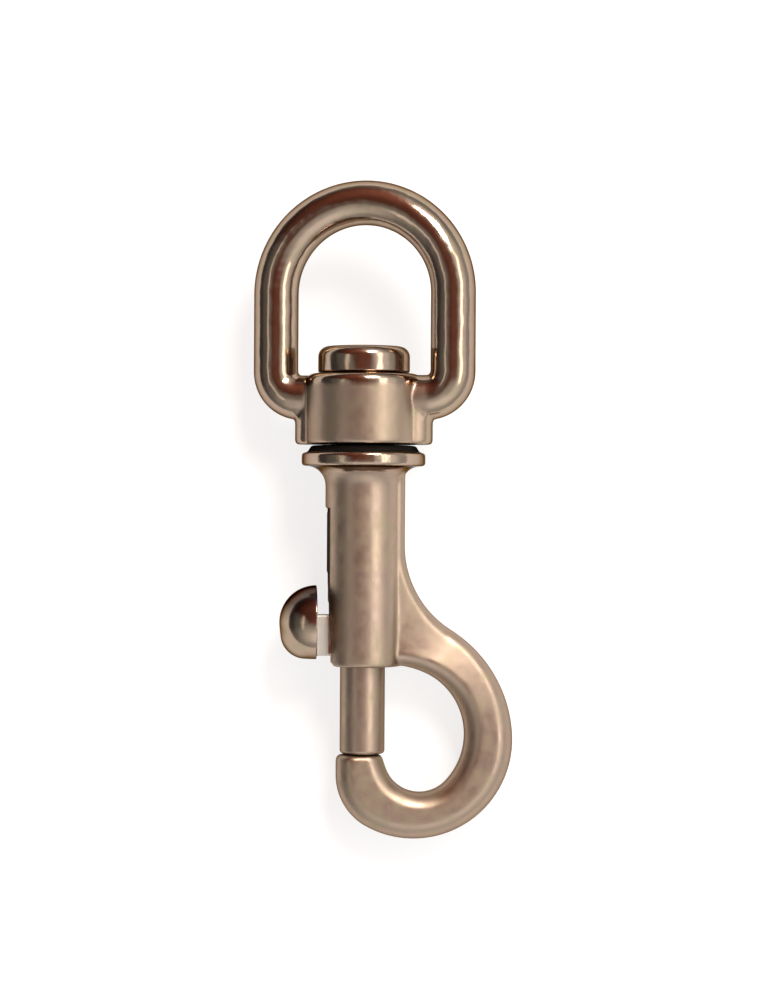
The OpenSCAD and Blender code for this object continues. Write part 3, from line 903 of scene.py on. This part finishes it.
def plating(name, finish, matrix, zones, rough, grainy, wavy, lift):
    """Nickel plate: drifting tints, soft gloss changes, fine grain, scuffs, and painted shade in
    the creases
    """
    material = bpy.data.materials.new(name)
    graph = Graph(material)
    shader = graph.nodes["Principled BSDF"]
    point = graph.upright(matrix)
    x, _, z = graph.axes(point)
    wave_depth, grain_depth = 0.16 / MM, 0.03 / MM
    # The tint drifts in patches of about 6 mm, with smaller olive spots
    drift = graph.noise(point, 0.16, 2)
    mottle = graph.noise(point, 0.55, 3)
    tint = graph.mixed(graph.spread(drift, 0.38, 0.62, 0, 1), finish.blush, finish.nickel)
    tint = graph.mixed(graph.spread(mottle, 0.5, 0.72, 0, 0.8), tint, finish.olive)
    lifted = graph.new("VectorMath")
    lifted.operation = "SCALE"
    graph.give(lifted.inputs["Scale"], lift)
    graph.give(lifted.inputs[0], tint)
    tint = lifted.outputs[0]
    # The gloss changes softly, and long fine scuffs dull it
    streaks = graph.noise(graph.moved(point, (6.0, 6.0, 0.35), (0.2, 0.5, 0.1)), 1.0, 3, 0.6)
    soft = graph.spread(mottle, 0.3, 0.7, rough * 0.85, rough * 1.2)
    gloss = graph.maths("ADD", soft, graph.spread(streaks, 0.6, 0.78, 0.0, 0.12))
    for area in zones:
        across = graph.between(x, *area.across, area.edge)
        inside = graph.maths("MULTIPLY", across, graph.between(z, *area.along, area.edge))
        if area.tint:
            tint = graph.mixed(graph.maths("MULTIPLY", inside, area.part), tint, area.tint)
        gloss = graph.maths("MULTIPLY_ADD", inside, area.duller, gloss)
    # Painted shade in the creases, which are also dulled
    bend = graph.new("NewGeometry").outputs["Pointiness"]
    painted_crease_shade = graph.spread(bend, 0.4, 0.47, 0.5, 0)
    graph.give(shader.inputs["Base Color"], graph.mixed(painted_crease_shade, tint, finish.painted_shade))
    graph.give(shader.inputs["Roughness"], graph.maths("MULTIPLY_ADD", painted_crease_shade, 0.5, gloss))
    graph.give(shader.inputs["Metallic"], 1.0)
    graph.give(shader.inputs["Specular Tint"], finish.rim)
    # Shallow waves of the casting under a fine grain, with the scuffs cut in
    wave = graph.bump(graph.noise(point, 0.45, 1), wavy, wave_depth)
    grain = graph.noise(point, 5.0, 4, 0.65)
    relief = graph.maths("ADD", grain, graph.spread(streaks, 0.62, 0.8, 0.0, -0.4))
    graph.give(shader.inputs["Normal"], graph.bump(relief, grainy, grain_depth, wave))
    return material


def spring_material(name, finish, matrix):
    """Spring wire with faint drawing marks"""
    material = bpy.data.materials.new(name)
    graph = Graph(material)
    shader = graph.nodes["Principled BSDF"]
    marks = graph.noise(graph.upright(matrix), 4.0, 3)
    graph.give(shader.inputs["Base Color"], finish.steel)
    graph.give(shader.inputs["Metallic"], 1.0)
    graph.give(shader.inputs["Roughness"], graph.spread(marks, 0.3, 0.7, 0.22, 0.4))
    return material


def plate_material(context, kind):
    """The material of a finish, made once"""
    finish = context.scene.snap_finish
    name = f"{kind}_look"
    made = bpy.data.materials.get(name)
    if made:
        return made
    matrix = laid(context, context.scene.snap_barrel.roll)
    if kind == "spring_steel":
        return spring_material(name, finish, matrix)
    if kind == "polished_nickel":
        zones = polished_zones(context, finish)
        amounts = {"rough": finish.eye_rough, "grainy": 0.08, "wavy": 0.5, "lift": 1.0}
    else:
        zones = satin_zones(context, finish)
        lift = finish.satin_lift
        amounts = {"rough": finish.cast_rough, "grainy": 0.22, "wavy": 0.25, "lift": lift}
    return plating(name, finish, matrix, zones, **amounts)


# Operators


class SnapEye(bpy.types.Operator):
    """Makes the eye with its collar and ears as one casting"""

    bl_idname = "snap.eye"
    bl_label = "Eye"

    def execute(self, context):
        eye = in_mm(context.scene.snap_eye)
        barrel = in_mm(context.scene.snap_barrel)
        obj = eye_mesh(eye, barrel.boss_h + END_CLEAR)
        melt(obj, voxel=0.185, passes=5)
        obj.name = "eye_casting"
        finish_piece(context, obj, eye.roll, "polished_nickel", body="eye", node="eye")
        return {"FINISHED"}


class SnapRivet(bpy.types.Operator):
    """Makes the headed rivet that the eye turns on"""

    bl_idname = "snap.rivet"
    bl_label = "Swivel rivet"

    def execute(self, context):
        turned = in_mm(context.scene.snap_turned)
        barrel = in_mm(context.scene.snap_barrel)
        top = turned.head_z + turned.head_h
        spigot_edge = 0.1
        bm = bmesh.new()
        revolve(
            bm,
            [
                (0, -turned.spigot_l, 0),
                (barrel.bore_d / 2, -turned.spigot_l, spigot_edge),
                (barrel.bore_d / 2, barrel.boss_h, 0),
                (turned.shank_d / 2, barrel.boss_h, 0),
                (turned.shank_d / 2, turned.head_z, 0),
                (turned.head_d / 2, turned.head_z, turned.head_foot),
                (turned.head_d / 2, top, turned.head_round),
                (0, top, 0),
            ],
        )
        obj = new_object("rivet_turned", bm)
        roll = barrel.roll
        finish_piece(context, obj, roll, "polished_nickel", body="hook", node="swivel_rivet")
        return {"FINISHED"}


class SnapHookCasting(bpy.types.Operator):
    """Makes the barrel, its flange and the hook as one casting"""

    bl_idname = "snap.hook_casting"
    bl_label = "Barrel and hook"

    def execute(self, context):
        barrel = in_mm(context.scene.snap_barrel)
        hook = in_mm(context.scene.snap_hook)
        turned = in_mm(context.scene.snap_turned)
        obj = barrel_hook_mesh(barrel, hook, turned.bolt_d / 2)
        melt(obj, voxel=0.2, passes=5)
        obj.name = "hook_casting"
        finish_piece(context, obj, barrel.roll, "satin_nickel", body="hook", node="barrel_hook")
        return {"FINISHED"}


class SnapBolt(bpy.types.Operator):
    """Makes the bolt that closes the hook's mouth"""

    bl_idname = "snap.bolt"
    bl_label = "Bolt"

    def execute(self, context):
        turned = in_mm(context.scene.snap_turned)
        barrel = in_mm(context.scene.snap_barrel)
        r = turned.bolt_d / 2
        bm = bmesh.new()
        revolve(
            bm,
            [
                (0, -turned.bolt_low, 0),
                (r, -turned.bolt_low, turned.bolt_edge),
                (r, -turned.bolt_top, turned.bolt_edge),
                (0, -turned.bolt_top, 0),
            ],
        )
        obj = new_object("bolt_turned", bm)
        finish_piece(context, obj, barrel.roll, "satin_nickel", body="bolt", node="bolt")
        return {"FINISHED"}


class SnapStud(bpy.types.Operator):
    """Makes the thumb stud with its flat neck"""

    bl_idname = "snap.stud"
    bl_label = "Thumb stud"

    def execute(self, context):
        turned = in_mm(context.scene.snap_turned)
        barrel = in_mm(context.scene.snap_barrel)
        obj = new_object("stud", stud_dome(turned))
        combine(obj, new_object("stud_neck", stud_neck(turned)), "UNION")
        melt(obj, voxel=0.09, passes=3)
        obj.name = "stud_cast"
        finish_piece(context, obj, barrel.roll, "polished_nickel", body="bolt", node="thumb_stud")
        return {"FINISHED"}


def stud_dome(turned):
    """Domed knob: the hull of two balls, cut flat towards the barrel"""
    bm = bmesh.new()
    upper = Matrix.Translation((-turned.stud_x, 0, -turned.stud_z))
    lower = Matrix.Translation(
        (-turned.stud_x - turned.stud_low_out, 0, -turned.stud_z - turned.stud_low_drop)
    )
    for radius, place in ((turned.stud_r, upper), (turned.stud_low_r, lower)):
        bmesh.ops.create_icosphere(bm, subdivisions=6, radius=radius, matrix=place)
    bmesh.ops.delete(bm, geom=bm.edges[:], context="EDGES_FACES")
    made = bmesh.ops.convex_hull(bm, input=bm.verts[:], use_existing_faces=False)
    unused = {g for g in made["geom_interior"] if isinstance(g, bmesh.types.BMVert)}
    bmesh.ops.delete(bm, geom=list(unused), context="VERTS")
    cut_away(bm, (-turned.stud_x, 0, 0), (1, 0, 0))
    bmesh.ops.recalc_face_normals(bm, faces=bm.faces)
    return bm


def stud_neck(turned):
    """Flat neck from the knob through the slot into the bolt"""
    bm = bmesh.new()
    bmesh.ops.create_cube(bm, size=1)
    sunk, edge = 0.6, 0.2
    inside = turned.bolt_d / 2 - sunk
    deep = turned.stud_r / 2
    long = turned.stud_x + deep - inside
    bmesh.ops.scale(bm, verts=bm.verts, vec=(long, turned.neck_t, turned.neck_h))
    middle_x = -(turned.stud_x + deep + inside) / 2
    middle_z = -turned.neck_z + turned.neck_h / 2
    bmesh.ops.translate(bm, verts=bm.verts, vec=(middle_x, 0, middle_z))
    rounded(bm, bm.edges[:], edge, 3)
    return bm


class SnapSpring(bpy.types.Operator):
    """Makes the coil spring that presses the bolt shut"""

    bl_idname = "snap.spring"
    bl_label = "Spring"

    def execute(self, context):
        turned = in_mm(context.scene.snap_turned)
        barrel = in_mm(context.scene.snap_barrel)
        per_turn = 40
        steps = per_turn * turned.coil_turns
        rise = turned.coil_low - turned.coil_top
        bm = bmesh.new()
        start = Matrix.Translation((turned.coil_r, 0, -turned.coil_low))
        start @= Matrix.Rotation(math.pi / 2, 4, "X")
        made = bmesh.ops.create_circle(
            bm, cap_ends=True, segments=14, radius=turned.wire_d / 2, matrix=start
        )
        bmesh.ops.spin(
            bm,
            geom=made["verts"][0].link_faces[:],
            cent=(0, 0, 0),
            axis=(0, 0, 1),
            dvec=(0, 0, rise / steps),
            angle=math.tau * turned.coil_turns,
            steps=steps,
            use_merge=False,
            use_duplicate=False,
        )
        bmesh.ops.recalc_face_normals(bm, faces=bm.faces)
        obj = new_object("spring_coil", bm)
        finish_piece(context, obj, barrel.roll, "spring_steel", body="hook", node="spring")
        coil_end = laid(context, barrel.roll) @ Vector((0, 0, -turned.coil_top))
        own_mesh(obj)
        return {"FINISHED"}


class SnapStage(bpy.types.Operator):
    """Sets the table, the lamps and the camera"""

    bl_idname = "snap.stage"
    bl_label = "Stage"

    def execute(self, context):
        view = context.scene.snap_view
        finish = context.scene.snap_finish
        make_table(finish)
        make_camera(context, view)
        make_lamps(context, view)
        make_world(context)
        context.scene.view_settings.view_transform = "Standard"
        return {"FINISHED"}


def make_table(finish):
    """Pale table that shows as white, and keeps the hook's shadow"""
    bm = bmesh.new()
    bmesh.ops.create_grid(bm, x_segments=1, y_segments=1, size=1.5)
    table = new_object("table", bm)
    material = bpy.data.materials.new("table_top")
    graph = Graph(material)
    shader = graph.nodes["Principled BSDF"]
    path = graph.new("LightPath")
    seen = graph.maths("ADD", path.outputs["Is Camera Ray"], path.outputs["Is Glossy Ray"])
    seen = graph.maths("ADD", seen, path.outputs["Is Transmission Ray"])
    graph.give(shader.inputs["Base Color"], finish.table)
    graph.give(shader.inputs["Roughness"], 0.9)
    graph.give(shader.inputs["Emission Color"], (1, 1, 1))
    graph.give(shader.inputs["Emission Strength"], graph.spread(seen, 0, 1, 0, finish.table_lift))
    table.data.materials.append(material)


def make_camera(context, view):
    camera = bpy.data.objects.new("camera", bpy.data.cameras.new("camera"))
    camera.data.sensor_fit = "VERTICAL"
    camera.data.sensor_height = 24.0
    camera.data.lens = view.focal
    camera.data.clip_start = 0.01
    lean = Matrix.Rotation(-math.asin(barrel_axis.z), 3, "X")
    aside = Matrix.Rotation(-view.side_turn, 3, "Y")
    to_view = Matrix.Rotation(-view.spin, 3, "Z") @ aside @ lean
    to_world = to_view.transposed()
    eye_point = Vector((view.aim_x, view.aim_y, view.distance))
    place = Vector((0, 0, view.aim_z)) + to_world @ eye_point
    camera.matrix_world = Matrix.Translation(place) @ to_world.to_4x4()
    context.scene.collection.objects.link(camera)
    context.scene.camera = camera


def make_lamps(context, view):
    """A long soft lamp at the right, one beyond the eye and a faint one at the left"""
    aim = Vector((0, 0, view.aim_z))
    away = 0.6
    warm_white = (1.0, 0.93, 0.84)
    # Each lamp's direction from the hook, its length and width in metres, and its power
    for name, direction, size, power in (
        ("right_lamp", (0.68, 0.05, 0.73), (0.5, 0.14), view.key),
        ("upper_lamp", (0.33, 0.6, 0.73), (0.2, 0.2), view.upper),
        ("left_lamp", (-0.62, -0.1, 0.78), (0.4, 0.08), view.fill),
    ):
        lamp = bpy.data.lights.new(name, "AREA")
        lamp.shape = "RECTANGLE"
        lamp.size, lamp.size_y = size
        lamp.energy = power
        lamp.color = warm_white
        obj = bpy.data.objects.new(name, lamp)
        towards = Vector(direction).normalized()
        place = aim + towards * away
        along = Vector((0, 1, 0))
        side = along.cross(towards).normalized()
        axes = Matrix((towards.cross(side), side, towards)).transposed().to_4x4()
        obj.matrix_world = Matrix.Translation(place) @ axes
        context.scene.collection.objects.link(obj)


def make_world(context):
    """Room with bright windows at half height, darker to the left, and one dark strip overhead"""
    finish = context.scene.snap_finish
    world = bpy.data.worlds.new("studio")
    graph = Graph(world)
    x, y, z = graph.axes(graph.new("TexCoord").outputs["Generated"])
    room = graph.mixed(graph.spread(z, 0, 0.8, 0, 1), finish.horizon, finish.overhead)
    # The strip runs up the picture, and widens towards its upper left
    onward = graph.maths("MAXIMUM", y, 0.0)
    off_middle = graph.maths("ABSOLUTE", graph.maths("MULTIPLY_ADD", onward, 0.8, x))
    half_width = graph.maths("MULTIPLY_ADD", onward, 0.45, 0.4)
    across = graph.spread(graph.maths("DIVIDE", off_middle, half_width), 0.75, 1.15, 1, 0)
    along = graph.maths(
        "MULTIPLY", graph.spread(y, -0.3, -0.08, 0, 1), graph.spread(z, 0.05, 0.3, 0, 1)
    )
    strip = graph.maths("MULTIPLY", across, along)
    background = graph.nodes["Background"]
    graph.give(background.inputs["Color"], graph.mixed(strip, room, finish.strip))
    # Brightness: windows all round, one towards the viewer's side and one low at the right
    windows = graph.between(z, 0.46, 0.75, 0.17)
    near = graph.spread(y, -0.8, -0.2, 0.8, 0)
    low_right = graph.spread(x, 0.7, 0.9, 0, 0.6)
    strength = graph.maths("MULTIPLY_ADD", windows, finish.window, 1.0)
    strength = graph.maths("MULTIPLY", strength, graph.spread(x, -0.75, 0, finish.shade, 1))
    strength = graph.maths("ADD", strength, low_right)
    graph.give(background.inputs["Strength"], graph.maths("ADD", strength, near))
    context.scene.world = world


STEPS = (SnapEye, SnapRivet, SnapHookCasting, SnapBolt, SnapStud, SnapSpring, SnapStage)


class SnapPanel(bpy.types.Panel):
    """Sidebar panel with the steps and the sizes"""

    bl_idname = "VIEW3D_PT_snap_hook"
    bl_label = "Snap hook"
    bl_space_type = "VIEW_3D"
    bl_region_type = "UI"
    bl_category = "Snap hook"

    def draw(self, context):
        for step in STEPS:
            self.layout.operator(step.bl_idname)
        for name in GROUPS:
            group = getattr(context.scene, name)
            box = self.layout.box()
            for prop in group.bl_rna.properties:
                if prop.identifier not in ("rna_type", "name"):
                    box.prop(group, prop.identifier)


def register():
    for group in GROUPS.values():
        bpy.utils.register_class(group)
    for step in STEPS:
        bpy.utils.register_class(step)
    bpy.utils.register_class(SnapPanel)
    for name, group in GROUPS.items():
        setattr(bpy.types.Scene, name, PointerProperty(type=group))


def unregister():
    for name in GROUPS:
        delattr(bpy.types.Scene, name)
    bpy.utils.unregister_class(SnapPanel)
    for cls in (*STEPS, *GROUPS.values()):
        bpy.utils.unregister_class(cls)


def main():
    register()
    for step in STEPS:
        operator = getattr(bpy.ops.snap, step.bl_idname.split(".")[1])
        operator()


if __name__ == "__main__":
    main()
